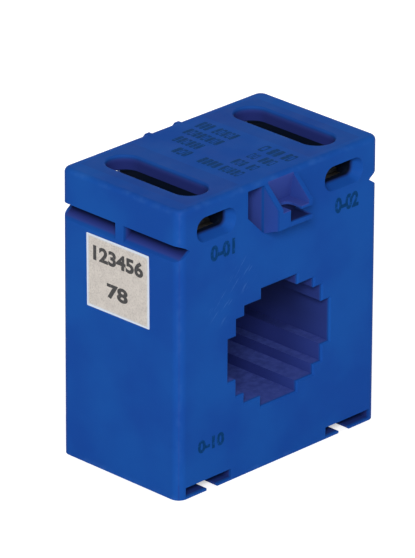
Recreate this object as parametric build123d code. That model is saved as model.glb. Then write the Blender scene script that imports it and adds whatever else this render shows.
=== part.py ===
from build123d import *
import os
from math import hypot

# Window current transformer in a moulded case, in millimetres.
# The front looks along -Y, left is -X and +Z is up. The origin is the middle of the bottom face.

# Case, outside; its width and height follow from the coil and the terminals, further down
CASE_DEPTH = 35.2
CORNER_RADIUS = 2.2
TOP_RADIUS = 1.2

# Case, walls
SIDE_WALL = 1.8
FRONT_WALL = 1.8
TOP_WALL = 1.8
FLOOR_WALL = 1.55
SHELF_WALL = 1.7
DIVIDER_WALL = 1.6
COVER_THICKNESS = 2.0
COVER_GAP = 0.1

# Stepped window for the primary bar or cable
BAR_WIDTH = 30.6
BAR_HEIGHT = 10.0
WIDE_STEP_WIDTH = 25.7
WIDE_STEP_HEIGHT = 17.8
TALL_STEP_WIDTH = 20.8
TALL_STEP_HEIGHT = 22.4
CROWN_WIDTH = 10.8
CROWN_HEIGHT = 27.2
WINDOW_CHAMFER = 0.35
TUBE_WALL = 1.2

# Foot bracket slots under the front and back edges
FOOT_SLOT_INSET = 2.1
FOOT_SLOT_WIDTH = 13.5
FOOT_SLOT_TOP = 2.65
FOOT_LIP = 0.55
FOOT_GAP_WIDTH = 3.2
FOOT_GAP_FROM_END = 7.8
FOOT_SLOT_DEPTH = 12.0

# Grooves down the sides for the clip of a terminal cover; their edges are given from the top of the case
GROOVE_TOP_DROP = 7.9
GROOVE_TIP_DROP = 9.5
GROOVE_BOTTOM_DROP = 11.6
GROOVE_DEPTH = 3.1
GROOVE_HOLLOW = 0.25
GROOVE_RIB = 2.4

# Terminals
TERMINAL_INSET = 10.9
TERMINAL_SINK = 0.5
ROOM_OVER_BAR = 7.9
CHAMBER_WIDTH = 8.2
CHAMBER_END_WALL = 3.7
ACCESS_SLOT_WIDTH = 8.0
ACCESS_SLOT_FROM_END = 4.1
ACCESS_SLOT_WALL = 3.6
ACCESS_SLOT_ROUND = 0.5
ENTRY_WIDTH = 11.6
ENTRY_SILL = 0.9
ENTRY_TOP_DROP = 3.15
ENTRY_CORNER = 2.6
ENTRY_FLARE_SIDE = 1.5
ENTRY_FLARE_BOTTOM = 1.25
ENTRY_FLARE_TOP = 0.2
ENTRY_FLARE_DEPTH = 2.4

# Terminal bar, clamp plates and clamp screws
BAR_SIDE_GAP = 0.2
BAR_END_GAP = 0.3
TERMINAL_BAR_HEIGHT = 7.7
BAR_EDGE = 0.4
TAIL_RISE = 1.8
TAIL_THICKNESS = 1.5
TAIL_WIDTH = 4.0
TAIL_REACH = 4.0
TAIL_GAP = 0.15
PLATE_END_ROOM = 1.9
PLATE_WIDTH = 7.2
PLATE_LENGTH = 9.0
PLATE_THICKNESS = 1.0
PLATE_EDGE = 0.25
SEAT_GAP = 0.05
SCREW_RADIUS = 1.95
THREAD_GAP = 0.05
NECK_GAP = 0.1
SCREW_LENGTH = 7.4
SCREW_TIP = 0.4
HEAD_RADIUS = 3.3
HEAD_HEIGHT = 2.2
HEAD_ROUND = 0.6
RECESS_WIDTH = 0.9
RECESS_LENGTH = 4.6
RECESS_DEPTH = 1.2

# Brackets for the bar clamp screws, at the top of the front and back, each with a recess on its left.
# Every drop is a depth under the top of the case.
BRACKET_WIDTH = 10.0
CHEEK = 1.2
BRACKET_REACH = 4.5
RIDGE_START = 1.3
RIDGE_END_DROP = 5.8
TROUGH_TOP_DROP = 0.8
TROUGH_LEAN = 1.0
SHELF_TOP_DROP = 6.5
SHELF_THICKNESS = 0.7
NOSE_BOTTOM_DROP = 10.3
NUT_POCKET_HEIGHT = 2.1
NUT_POCKET_LENGTH = 4.6
NUT_HALF_WIDTH = 3.6
NOSE_WALL = 0.9
SCREW_SLOT_WIDTH = 3.2
SCREW_SLOT_BACK = 0.3
SCOOP_REACH = 9.8
SCOOP_TOP_DROP = 1.3
SCOOP_BOTTOM_DROP = 12.1
SCOOP_DEPTH = 5.0
SCOOP_CORNER = 4.7
SCOOP_WALL = 1.6
BRACKET_ROOT = 1.0

# Core and coil
COIL_BUILD = 5.6
SIDE_ROOM = 5.0
COIL_CLEARANCE = 0.3
FOAM_THICKNESS = 1.2
FOAM_INSET = 0.6
WRAP_THICKNESS = 0.3
LAYER_FIT = 0.05
WINDING_THICKNESS = 1.1
WINDING_GAP = 3.2
END_RING_THICKNESS = 0.8
LEAD_WINDOW_MARGIN = 0.7
LEAD_WINDOW_LENGTH = 3.4

# Leads
LEAD_DIAMETER = 1.6
LEAD_BEND = 3.3
LEAD_LEG = 1.5
LEAD_STRAIGHT = 0.8

# Label on the left side
LABEL_WIDTH = 18.5
LABEL_HEIGHT = 16.6
LABEL_THICKNESS = 0.1
LABEL_Y = 0.4
LABEL_UNDER_GROOVE = 0.9
LABEL_TILT = 1.0
LABEL_CORNER = 0.5

# Coil and window; the tube round the window is rounded to a tenth
WINDOW_STEPS = (
    (BAR_WIDTH, BAR_HEIGHT),
    (WIDE_STEP_WIDTH, WIDE_STEP_HEIGHT),
    (TALL_STEP_WIDTH, TALL_STEP_HEIGHT),
    (CROWN_WIDTH, CROWN_HEIGHT),
)
TUBE_RADIUS = round(max(hypot(width, height) / 2 for width, height in WINDOW_STEPS) + TUBE_WALL, 1)
COIL_HOLE = TUBE_RADIUS + COIL_CLEARANCE
COIL_RADIUS = COIL_HOLE + COIL_BUILD
CAVITY_FLOOR = FOOT_SLOT_TOP + FLOOR_WALL
WINDOW_HEIGHT_OF_CENTRE = CAVITY_FLOOR + COIL_CLEARANCE + COIL_RADIUS
COIL_TOP = WINDOW_HEIGHT_OF_CENTRE + COIL_RADIUS

# Heights of the terminals
TERMINAL_FLOOR = COIL_TOP - TERMINAL_SINK
BAR_TOP = TERMINAL_FLOOR + TERMINAL_BAR_HEIGHT
PLATE_BOTTOM = BAR_TOP + SEAT_GAP
HEAD_BOTTOM = PLATE_BOTTOM + PLATE_THICKNESS + SEAT_GAP
TAIL_BOTTOM = TERMINAL_FLOOR + TAIL_RISE
TAIL_TOP = TAIL_BOTTOM + TAIL_THICKNESS

# Case round the coil and the terminals
CASE_WIDTH = 2 * (COIL_RADIUS + SIDE_ROOM + SIDE_WALL)
CASE_HEIGHT = BAR_TOP + ROOM_OVER_BAR
HALF_WIDTH = CASE_WIDTH / 2
HALF_DEPTH = CASE_DEPTH / 2
FRONT_INSIDE = -HALF_DEPTH + FRONT_WALL
COVER_INSIDE = HALF_DEPTH - COVER_THICKNESS
COVER_TOP = CASE_HEIGHT - TOP_WALL
COIL_FRONT = FRONT_INSIDE + FOAM_THICKNESS
COIL_BACK = COVER_INSIDE - FOAM_THICKNESS
GROOVE_TOP = CASE_HEIGHT - GROOVE_TOP_DROP
GROOVE_TIP = CASE_HEIGHT - GROOVE_TIP_DROP
GROOVE_BOTTOM = CASE_HEIGHT - GROOVE_BOTTOM_DROP
LABEL_Z = GROOVE_BOTTOM - LABEL_UNDER_GROOVE - LABEL_HEIGHT / 2

# Terminal chambers, with what opens into them
TERMINAL_X = HALF_WIDTH - TERMINAL_INSET
CHAMBER_FRONT = -HALF_DEPTH + CHAMBER_END_WALL
CHAMBER_TOP = CASE_HEIGHT - ACCESS_SLOT_WALL
CLAMP_Y = -CHAMBER_FRONT - PLATE_END_ROOM - PLATE_LENGTH / 2
ENTRY_BOTTOM = BAR_TOP - ENTRY_SILL
ENTRY_TOP = CASE_HEIGHT - ENTRY_TOP_DROP
MIDDLE_HALF_WIDTH = TERMINAL_X - CHAMBER_WIDTH / 2 - DIVIDER_WALL
TAIL_MIDDLE = MIDDLE_HALF_WIDTH - TAIL_REACH / 2
LEAD_X = TAIL_MIDDLE - 2 * LEAD_BEND - LEAD_STRAIGHT
LEAD_TOP = TAIL_TOP + LEAD_BEND + LEAD_LEG

# Bracket
NOSE = HALF_DEPTH + BRACKET_REACH
NOSE_BOTTOM = CASE_HEIGHT - NOSE_BOTTOM_DROP
RIDGE_END = CASE_HEIGHT - RIDGE_END_DROP
TROUGH_TOP = CASE_HEIGHT - TROUGH_TOP_DROP
SHELF_TOP = CASE_HEIGHT - SHELF_TOP_DROP
SCOOP_TOP = CASE_HEIGHT - SCOOP_TOP_DROP
SCOOP_BOTTOM = CASE_HEIGHT - SCOOP_BOTTOM_DROP
SCOOP_BACK = HALF_DEPTH - SCOOP_DEPTH - SCOOP_WALL

SIDES = {"s1": -1, "s2": 1}
ENDS = {"front": -1, "back": 1}
PAST = 1.0


def block(x_low, x_high, y_low, y_high, z_low, z_high):
    """Box between two corners."""
    size = (x_high - x_low, y_high - y_low, z_high - z_low)
    centre = ((x_high + x_low) / 2, (y_high + y_low) / 2, (z_high + z_low) / 2)
    return Pos(*centre) * Box(*size)


def rod_along_y(radius, y_low, y_high):
    """Cylinder round the window's axis."""
    centre = Pos(0, (y_low + y_high) / 2, WINDOW_HEIGHT_OF_CENTRE)
    return centre * Rot(90, 0, 0) * Cylinder(radius, y_high - y_low)


def ring(inner_radius, outer_radius, y_low, y_high):
    """Ring round the window's axis."""
    return rod_along_y(outer_radius, y_low, y_high) - rod_along_y(inner_radius, y_low - PAST, y_high + PAST)


def front_sketch(sketch, outward):
    """Sketch in X and Z placed at a distance in front of the middle of the case."""
    return Plane.XZ.offset(outward) * sketch


def side_profile(points, width):
    """Outline of distances in front of the middle and heights, made solid across X."""
    outline = Polyline(*[(-outward, height) for outward, height in points], close=True)
    return extrude(Plane.YZ * make_face(outline), width / 2, both=True)


def both_ends(shape):
    """A front shape and its copy at the back."""
    return shape + mirror(shape, about=Plane.XZ)


def both_sides(shape):
    """A right-hand shape and its copy on the left."""
    return shape + mirror(shape, about=Plane.YZ)


def outer_form():
    form = block(-HALF_WIDTH, HALF_WIDTH, -HALF_DEPTH, HALF_DEPTH, 0, CASE_HEIGHT)
    form = fillet(form.edges().filter_by(Axis.Z), CORNER_RADIUS)
    return fillet(form.faces().sort_by(Axis.Z)[-1].edges(), TOP_RADIUS)


def window_cut():
    """Stepped opening right through, with its rims broken at the front and back."""
    middle = Pos(0, WINDOW_HEIGHT_OF_CENTRE)
    steps = [middle * Rectangle(width, height) for width, height in WINDOW_STEPS]
    opening = extrude(front_sketch(steps[0] + steps[1:], HALF_DEPTH + PAST), -(CASE_DEPTH + 2 * PAST))
    rims = []
    for step, (width, height) in zip(steps, WINDOW_STEPS):
        rim = middle * Rectangle(width + 2 * WINDOW_CHAMFER, height + 2 * WINDOW_CHAMFER)
        flare = loft([front_sketch(step, HALF_DEPTH - WINDOW_CHAMFER), front_sketch(rim, HALF_DEPTH)])
        rims += [flare, mirror(flare, about=Plane.XZ)]
    return opening + rims


def groove_cut():
    """V grooves along both sides, each left whole at a narrow rib halfway."""
    tip = (HALF_WIDTH - GROOVE_DEPTH, GROOVE_TIP)
    upper = (HALF_WIDTH, GROOVE_TOP)
    middle = ((tip[0] + upper[0]) / 2, (tip[1] + upper[1]) / 2 + GROOVE_HOLLOW)
    outside = HALF_WIDTH + PAST
    edges = ThreePointArc(tip, middle, upper) + Polyline(
        upper, (outside, GROOVE_TOP), (outside, GROOVE_BOTTOM), (HALF_WIDTH, GROOVE_BOTTOM), tip
    )
    length = HALF_DEPTH + PAST - GROOVE_RIB / 2
    groove = extrude(front_sketch(make_face(edges), GROOVE_RIB / 2), length)
    return both_sides(both_ends(groove))


def foot_slot_cut():
    """T slots for clip-on feet, open at the front and back edges of the bottom."""
    slot_end = HALF_WIDTH - FOOT_SLOT_INSET
    gap_middle = slot_end - FOOT_GAP_FROM_END
    half_gap = FOOT_GAP_WIDTH / 2
    front = -HALF_DEPTH - PAST
    inner_end = -HALF_DEPTH + FOOT_SLOT_DEPTH
    slot = block(slot_end - FOOT_SLOT_WIDTH, slot_end, front, inner_end, FOOT_LIP, FOOT_SLOT_TOP)
    slot += block(gap_middle - half_gap, gap_middle + half_gap, front, inner_end, -PAST, FOOT_LIP)
    return both_sides(both_ends(slot))


def entry_outline(width, bottom, top, corner):
    """Rounded opening on the terminal's middle line."""
    return Pos(TERMINAL_X, (bottom + top) / 2) * RectangleRounded(width, top - bottom, corner)


def wire_entry_cut():
    """Flared wire entries in the front and back, leading into the terminal chambers."""
    mouth = entry_outline(ENTRY_WIDTH, ENTRY_BOTTOM, ENTRY_TOP, ENTRY_CORNER)
    throat = entry_outline(
        ENTRY_WIDTH - 2 * ENTRY_FLARE_SIDE,
        ENTRY_BOTTOM + ENTRY_FLARE_BOTTOM,
        ENTRY_TOP - ENTRY_FLARE_TOP,
        ENTRY_CORNER - ENTRY_FLARE_BOTTOM,
    )
    throat_at = HALF_DEPTH - ENTRY_FLARE_DEPTH
    flare = loft([front_sketch(throat, throat_at), front_sketch(mouth, HALF_DEPTH)])
    passage = extrude(front_sketch(throat, -CHAMBER_FRONT - PAST), throat_at + CHAMBER_FRONT + PAST)
    return both_sides(both_ends(flare + passage))


def access_slot_cut():
    """Screwdriver slots over the terminals."""
    slot = Rot(0, 0, 90) * SlotOverall(CASE_DEPTH - 2 * ACCESS_SLOT_FROM_END, ACCESS_SLOT_WIDTH)
    return both_sides(Pos(TERMINAL_X, 0, CHAMBER_TOP - PAST) * extrude(slot, ACCESS_SLOT_WALL + 2 * PAST))


def terminal_chamber_cut():
    """Chambers for the terminal bars, open at the back until the cover closes them."""
    half = CHAMBER_WIDTH / 2
    back = HALF_DEPTH + PAST
    chamber = block(TERMINAL_X - half, TERMINAL_X + half, CHAMBER_FRONT, back, TERMINAL_FLOOR, CHAMBER_TOP)
    tail_front = -TAIL_WIDTH / 2 - TAIL_GAP
    inner_side = MIDDLE_HALF_WIDTH - PAST
    chamber += block(inner_side, TERMINAL_X, tail_front, back, TAIL_BOTTOM - TAIL_GAP, TAIL_TOP + TAIL_GAP)
    return both_sides(chamber)


def cavity_cut():
    """Space for the coil, with a hollow above it between the terminal chambers."""
    half = HALF_WIDTH - SIDE_WALL
    back = HALF_DEPTH + PAST
    shelf_bottom = TERMINAL_FLOOR - SHELF_WALL
    cavity = block(-half, half, FRONT_INSIDE, back, CAVITY_FLOOR, shelf_bottom)
    middle = MIDDLE_HALF_WIDTH
    cavity += block(-middle, middle, FRONT_INSIDE, back, CAVITY_FLOOR, COIL_TOP + COIL_CLEARANCE)
    return cavity + block(-middle, middle, -SCOOP_BACK, back, CAVITY_FLOOR, COVER_TOP)


def cover_seat(gap):
    """Outline of the back cover, smaller than its recess by a gap."""
    half = HALF_WIDTH - SIDE_WALL - gap
    seat = block(-half, half, COVER_INSIDE, HALF_DEPTH, CAVITY_FLOOR + gap, COVER_TOP - gap)
    tongue = BRACKET_WIDTH / 2 + COVER_GAP - gap
    return seat + block(-tongue, tongue, COVER_INSIDE, HALF_DEPTH, COVER_TOP - PAST, CASE_HEIGHT)


def scoop_cut():
    """Recess on the left of the front bracket, with its lower outer corner cut off."""
    points = (
        (0, SCOOP_BOTTOM),
        (-SCOOP_REACH + SCOOP_CORNER, SCOOP_BOTTOM),
        (-SCOOP_REACH, SCOOP_BOTTOM + SCOOP_CORNER),
        (-SCOOP_REACH, SCOOP_TOP),
        (0, SCOOP_TOP),
    )
    outline = make_face(Polyline(*points, close=True))
    return extrude(front_sketch(outline, HALF_DEPTH - SCOOP_DEPTH), SCOOP_DEPTH + PAST)


def bracket():
    """Front bracket: two sloping cheeks, a shelf, and a nut pocket with a screw slot down into it."""
    root = HALF_DEPTH - SCOOP_DEPTH - BRACKET_ROOT
    form = side_profile(
        (
            (root, CASE_HEIGHT),
            (HALF_DEPTH - RIDGE_START, CASE_HEIGHT),
            (NOSE, RIDGE_END),
            (NOSE, NOSE_BOTTOM),
            (HALF_DEPTH, SCOOP_BOTTOM),
            (root, SCOOP_BOTTOM),
        ),
        BRACKET_WIDTH,
    )
    pocket_top = SHELF_TOP - SHELF_THICKNESS
    pocket_bottom = pocket_top - NUT_POCKET_HEIGHT
    pocket_front = -NOSE + NOSE_WALL
    pocket_back = pocket_front + NUT_POCKET_LENGTH
    right = BRACKET_WIDTH / 2 + PAST
    slot_radius = SCREW_SLOT_WIDTH / 2
    pocket = block(-NUT_HALF_WIDTH, right, pocket_front, pocket_back, pocket_bottom, pocket_top)
    pocket += block(-slot_radius, right, -NOSE - PAST, pocket_back, pocket_bottom, pocket_top)
    slot_centre = -HALF_DEPTH - SCREW_SLOT_BACK - slot_radius
    slot = block(-slot_radius, slot_radius, -NOSE - PAST, slot_centre, pocket_bottom, CASE_HEIGHT)
    slot_end = Cylinder(slot_radius, CASE_HEIGHT - pocket_bottom)
    return form - pocket - slot - Pos(0, slot_centre, (CASE_HEIGHT + pocket_bottom) / 2) * slot_end


def trough_cut():
    """Space between the front bracket's cheeks; its back wall leans in under the rounded top edge."""
    points = (
        (HALF_DEPTH, CASE_HEIGHT + PAST),
        (HALF_DEPTH, TROUGH_TOP),
        (HALF_DEPTH - TROUGH_LEAN, SHELF_TOP),
        (NOSE + PAST, SHELF_TOP),
        (NOSE + PAST, CASE_HEIGHT + PAST),
    )
    return side_profile(points, BRACKET_WIDTH - 2 * CHEEK)


def rear_ridges():
    """Ridges of the back bracket's cheeks, which start just above the rounded top edge."""
    start = HALF_DEPTH - RIDGE_START
    points = ((start, RIDGE_END), (start, CASE_HEIGHT), (HALF_DEPTH, CASE_HEIGHT), (NOSE, RIDGE_END))
    ridge = Pos((BRACKET_WIDTH - CHEEK) / 2, 0, 0) * side_profile(points, CHEEK)
    return mirror(both_sides(ridge), about=Plane.XZ)


def case_body():
    body = outer_form() - cavity_cut() - terminal_chamber_cut() - access_slot_cut()
    rims = body.faces().sort_by(Axis.Z)[-1].inner_wires().edges()
    body = fillet(rims, ACCESS_SLOT_ROUND)
    body += rod_along_y(TUBE_RADIUS, FRONT_INSIDE - FRONT_WALL / 2, COVER_INSIDE)
    body = body - cover_seat(0) - window_cut() - wire_entry_cut()
    body = body - groove_cut() - foot_slot_cut() - scoop_cut()
    return body + bracket() - trough_cut()


def back_cover():
    cover = cover_seat(COVER_GAP) & outer_form()
    backing_low = COIL_TOP + 2 * COIL_CLEARANCE
    cover_top = COVER_TOP - COVER_GAP
    cover += block(-SCOOP_REACH, SCOOP_REACH, SCOOP_BACK, COVER_INSIDE, backing_low, cover_top)
    rib_half = CHAMBER_WIDTH / 2 - SIDE_WALL / 2
    bar_back = HALF_DEPTH - CHAMBER_END_WALL - BAR_END_GAP
    rib = block(
        TERMINAL_X - rib_half, TERMINAL_X + rib_half, bar_back + COVER_GAP, COVER_INSIDE,
        TERMINAL_FLOOR + PAST, BAR_TOP - PAST,
    )
    cover += both_sides(rib)
    cover = cover - window_cut() - wire_entry_cut() - groove_cut() - mirror(scoop_cut(), about=Plane.XZ)
    under_rim = block(-BRACKET_WIDTH, BRACKET_WIDTH, 0, COVER_INSIDE, cover_top, CASE_HEIGHT + PAST)
    rear_bracket = mirror(bracket(), about=Plane.XZ) - under_rim
    return cover + rear_bracket + rear_ridges() - mirror(trough_cut(), about=Plane.XZ)


def foam_ring(y_low):
    return ring(COIL_HOLE + FOAM_INSET, COIL_RADIUS - FOAM_INSET, y_low, y_low + FOAM_THICKNESS)


def winding_wrap():
    """Tape round the whole coil, cut open at the top where the leads come out."""
    wrap = ring(COIL_HOLE, COIL_RADIUS, COIL_FRONT, COIL_BACK)
    wrap -= ring(
        COIL_HOLE + WRAP_THICKNESS, COIL_RADIUS - WRAP_THICKNESS,
        COIL_FRONT + WRAP_THICKNESS, COIL_BACK - WRAP_THICKNESS,
    )
    half_width = LEAD_X + LEAD_DIAMETER / 2 + LEAD_WINDOW_MARGIN
    half_length = LEAD_WINDOW_LENGTH / 2
    low = WINDOW_HEIGHT_OF_CENTRE + (COIL_HOLE + COIL_RADIUS) / 2
    return wrap - block(-half_width, half_width, -half_length, half_length, low, COIL_TOP + PAST)


def winding():
    """Wire layer round the core and its end rings, with a gap between its first and last turn."""
    skin = WRAP_THICKNESS + LAYER_FIT
    inner = COIL_HOLE + skin
    outer = COIL_RADIUS - skin
    front = COIL_FRONT + WRAP_THICKNESS
    back = COIL_BACK - WRAP_THICKNESS
    wire = WINDING_THICKNESS
    layer = ring(inner, outer, front, back)
    layer -= ring(inner + wire, outer - wire, front + wire, back - wire)
    half = WINDING_GAP / 2
    return layer - block(-half, half, front - PAST, back + PAST, WINDOW_HEIGHT_OF_CENTRE, COIL_TOP + PAST)


def core_ring(y_low, y_high):
    depth = WRAP_THICKNESS + LAYER_FIT + WINDING_THICKNESS + LAYER_FIT
    return ring(COIL_HOLE + depth, COIL_RADIUS - depth, y_low, y_high)


def core_parts():
    """Strip-wound core and the insulating rings on its two ends."""
    front = COIL_FRONT + WRAP_THICKNESS + WINDING_THICKNESS
    back = COIL_BACK - WRAP_THICKNESS - WINDING_THICKNESS
    return {
        "core": core_ring(front + END_RING_THICKNESS, back - END_RING_THICKNESS),
        "core_end_ring_front": core_ring(front, front + END_RING_THICKNESS),
        "core_end_ring_back": core_ring(back - END_RING_THICKNESS, back),
    }


def terminal_bar():
    """Right-hand terminal bar with two threaded holes and a solder tail towards the middle."""
    half = CHAMBER_WIDTH / 2 - BAR_SIDE_GAP
    front = CHAMBER_FRONT + BAR_END_GAP
    bar = block(TERMINAL_X - half, TERMINAL_X + half, front, -front, TERMINAL_FLOOR, BAR_TOP)
    bar = chamfer(bar.faces().sort_by(Axis.Z)[-1].edges(), BAR_EDGE)
    tail_end = MIDDLE_HALF_WIDTH - TAIL_REACH
    tail_half = TAIL_WIDTH / 2
    bar += block(tail_end, TERMINAL_X - half + BAR_EDGE, -tail_half, tail_half, TAIL_BOTTOM, TAIL_TOP)
    for end in ENDS.values():
        hole = Cylinder(SCREW_RADIUS + THREAD_GAP, TERMINAL_BAR_HEIGHT + 2 * PAST)
        bar -= Pos(TERMINAL_X, end * CLAMP_Y, TERMINAL_FLOOR + TERMINAL_BAR_HEIGHT / 2) * hole
    return bar


def clamp_plate(x, y):
    half_width = PLATE_WIDTH / 2
    half_length = PLATE_LENGTH / 2
    top = PLATE_BOTTOM + PLATE_THICKNESS
    plate = block(x - half_width, x + half_width, y - half_length, y + half_length, PLATE_BOTTOM, top)
    plate = chamfer(plate.faces().sort_by(Axis.Z)[-1].edges(), PLATE_EDGE)
    hole = Cylinder(SCREW_RADIUS + NECK_GAP, PLATE_THICKNESS + 2 * PAST)
    return plate - Pos(x, y, (PLATE_BOTTOM + top) / 2) * hole


def clamp_screw(x, y):
    """Round-headed screw with a cross recess; its shank reaches down into the bar."""
    head = Pos(0, 0, HEAD_HEIGHT / 2) * Cylinder(HEAD_RADIUS, HEAD_HEIGHT)
    head = fillet(head.faces().sort_by(Axis.Z)[-1].edges(), HEAD_ROUND)
    for turn in (0, 90):
        slot = Box(RECESS_LENGTH, RECESS_WIDTH, 2 * RECESS_DEPTH)
        head -= Pos(0, 0, HEAD_HEIGHT) * Rot(0, 0, turn) * slot
    shank = Pos(0, 0, -SCREW_LENGTH / 2) * Cylinder(SCREW_RADIUS, SCREW_LENGTH)
    shank = chamfer(shank.faces().sort_by(Axis.Z)[0].edges(), SCREW_TIP)
    return Pos(x, y, HEAD_BOTTOM) * (head + shank)


def lead():
    """Right-hand lead, from the outside of the winding over to the solder tail."""
    winding_top = COIL_TOP - WRAP_THICKNESS
    path = FilletPolyline(
        (LEAD_X, 0, winding_top),
        (LEAD_X, 0, LEAD_TOP),
        (TAIL_MIDDLE, 0, LEAD_TOP),
        (TAIL_MIDDLE, 0, TAIL_TOP),
        radius=LEAD_BEND,
    )
    return sweep(Pos(LEAD_X, 0, winding_top) * Circle(LEAD_DIAMETER / 2), path)


def label():
    """Flat label stuck on the left side, slightly askew."""
    sheet = extrude(RectangleRounded(LABEL_WIDTH, LABEL_HEIGHT, LABEL_CORNER), LABEL_THICKNESS)
    on_side = Plane(origin=(-HALF_WIDTH, LABEL_Y, LABEL_Z), x_dir=(0, -1, 0), z_dir=(-1, 0, 0))
    return on_side * Rot(0, 0, LABEL_TILT) * sheet


def all_parts():
    parts = {"case_body": case_body(), "back_cover": back_cover(), "test_label": label()}
    parts.update(core_parts())
    parts["secondary_winding"] = winding()
    parts["winding_wrap"] = winding_wrap()
    parts["foam_ring_front"] = foam_ring(FRONT_INSIDE)
    parts["foam_ring_back"] = foam_ring(COIL_BACK)
    for side, sign in SIDES.items():
        for name, shape in (("terminal_bar", terminal_bar()), ("lead", lead())):
            parts[f"{name}_{side}"] = shape if sign > 0 else mirror(shape, about=Plane.YZ)
        for end, end_sign in ENDS.items():
            place = (sign * TERMINAL_X, end_sign * CLAMP_Y)
            parts[f"clamp_plate_{side}_{end}"] = clamp_plate(*place)
            parts[f"clamp_screw_{side}_{end}"] = clamp_screw(*place)
    return parts


os.makedirs("parts", exist_ok=True)
for part_name, part_shape in all_parts().items():
    export_step(part_shape, f"parts/{part_name}.step")
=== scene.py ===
import math

import bpy
from bpy.props import FloatProperty, FloatVectorProperty, PointerProperty, StringProperty
from mathutils import Matrix, Vector


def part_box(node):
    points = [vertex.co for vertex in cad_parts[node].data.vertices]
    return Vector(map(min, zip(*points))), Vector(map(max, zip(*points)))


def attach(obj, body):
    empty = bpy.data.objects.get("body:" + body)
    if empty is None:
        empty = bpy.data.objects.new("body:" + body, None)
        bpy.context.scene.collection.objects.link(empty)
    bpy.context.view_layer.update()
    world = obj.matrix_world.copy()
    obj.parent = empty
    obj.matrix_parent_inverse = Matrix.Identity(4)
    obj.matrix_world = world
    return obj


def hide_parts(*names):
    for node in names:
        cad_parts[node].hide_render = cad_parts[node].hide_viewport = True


bl_info = {
    "name": "Window current transformer looks",
    "version": (1, 0, 0),
    "blender": (4, 5, 0),
    "location": "View3D > Sidebar > Transformer",
    "description": "Finishes a packed window current transformer: case, label, print, terminals and coil",
    "category": "Object",
}

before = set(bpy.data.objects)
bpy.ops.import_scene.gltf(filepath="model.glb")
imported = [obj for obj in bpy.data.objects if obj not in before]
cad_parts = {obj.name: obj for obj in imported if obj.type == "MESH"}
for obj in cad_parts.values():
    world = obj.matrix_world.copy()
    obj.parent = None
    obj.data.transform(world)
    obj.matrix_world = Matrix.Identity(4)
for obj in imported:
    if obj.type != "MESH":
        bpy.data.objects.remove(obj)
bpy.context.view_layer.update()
MM = 0.001

# Places on the case, as in the CAD: across and along from its middle, and up from its bottom. The ridges'
# reach is the distance along plus the height at which they slope. Depths, walls and margins are sizes.
CASE_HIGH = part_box("case_body")[1]
LABEL_LOW, LABEL_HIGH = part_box("test_label")
HALF_WIDTH = CASE_HIGH.x
HALF_DEPTH = 17.6 * MM
CASE_TOP = CASE_HIGH.z
WINDOW_AXIS_Z = 27.7 * MM
NOSE = 22.1 * MM
RIDGE_REACH = 82.3 * MM
SHELF_TOP = 59.5 * MM
SHELF_MARGIN = 0.2 * MM
TROUGH_TOP = 65.2 * MM
TROUGH_ROOT = 14.0 * MM
TROUGH_HALF_WIDTH = 3.85 * MM
POCKET_LOW = 56.6 * MM
POCKET_HIGH = 58.9 * MM
POCKET_ROOT = 16.9 * MM
BRACKET_HALF_WIDTH = 5.0 * MM
ENTRY_LOW = 56.0 * MM
ENTRY_HIGH = 62.75 * MM
BAY_INNER = 10.5 * MM
BAY_OUTER = 26.0 * MM
FLARE_DEPTH = 2.4 * MM
SLOT_WALL = 2.0 * MM
GROOVE_LOW = 54.0 * MM
GROOVE_HIGH = 58.3 * MM
FOOT_HIGH = 3.5 * MM
FOOT_FACE = 0.05 * MM
FACE_MARGIN = 0.02 * MM

# Fades of the masks on the case: from where, to where and, if not 0 to 1, their two strengths
EDGE_SOLID = 0.35
# These masks place painted shade in the recesses and hollows, and painted light on the window's steps
BEHIND_SKIN = (0.45 * MM, 1.1 * MM)
ON_STEPS = (0.4 * MM, 1.2 * MM)
INTO_WINDOW = (1.0 * MM, 13.0 * MM, 0.45, 1.0)
# Where the painted light on the steps fades out, deep and high inside the window
STEP_LIGHT_FADE_DEPTH = (7.0 * MM, 14.0 * MM, 0.0, 0.85)
STEP_LIGHT_FADE_HEIGHT = (18.0 * MM, 22.0 * MM)
WINDOW_SHADE = (20.0 * MM, 28.0 * MM, 0.0, 0.4)
INTO_SLOT = (0.2 * MM, 1.8 * MM, 0.2, 1.0)
INTO_THROAT = (FLARE_DEPTH - 0.7 * MM, FLARE_DEPTH + 0.4 * MM)
INTO_GROOVE = (0.1 * MM, 2.2 * MM)
GROOVE_ROOT = (1.4 * MM, 3.0 * MM, 0.0, 0.6)
OFF_FRONT = (0.5 * MM, 1.0 * MM)
INTO_FOOT = (0.4 * MM, 0.9 * MM, 0.0, 0.8)
INTO_BRACKET = (0.1 * MM, 0.9 * MM)
INTO_TROUGH = (-0.05 * MM, 0.1 * MM)
BEHIND_NOSE = (0.2 * MM, 0.8 * MM)
BEHIND_CHEEK = (0.2 * MM, 0.9 * MM)
BRACKET_SHARE = 0.6
POCKET_SHADE = 0.5

# Patches of noise: scale, detail, roughness, the levels it fades between and, if not 0 to 1, its strengths
FLOW_MARKS = (55.0, 3.0, 0.5, 0.35, 0.68)
EDGE_WEAR = (420.0, 3.0, 0.5, 0.4, 0.75, 0.0, 0.14)
# Specks that break up the painted light on the steps
STEP_LIGHT_SPECKS = (700.0, 3.0, 0.5, 0.3, 0.7, 0.3, 0.6)
SCRATCHES = (1.0, 2.0, 0.6, 0.58, 0.7)
FILM_FLECKS = (3200.0, 2.0, 0.7, 0.42, 0.72)
FILM_CLOUDS = (500.0, 3.0, 0.5, 0.35, 0.7)
DIGIT_WEAR = (2600.0, 3.0, 0.7, 0.58, 0.76, 0.0, 0.35)
INK_GAPS = (1500.0, 3.0, 0.7, 0.5, 0.7, 0.0, 0.75)
TARNISH = (420.0, 4.0, 0.6, 0.45, 0.75)
SLEEVE_DUST = (900.0, 3.0, 0.5, 0.4, 0.75, 0.0, 0.35)
STRIP_STAINS = (300.0, 3.0, 0.5, 0.35, 0.7, 0.0, 0.5)

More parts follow.
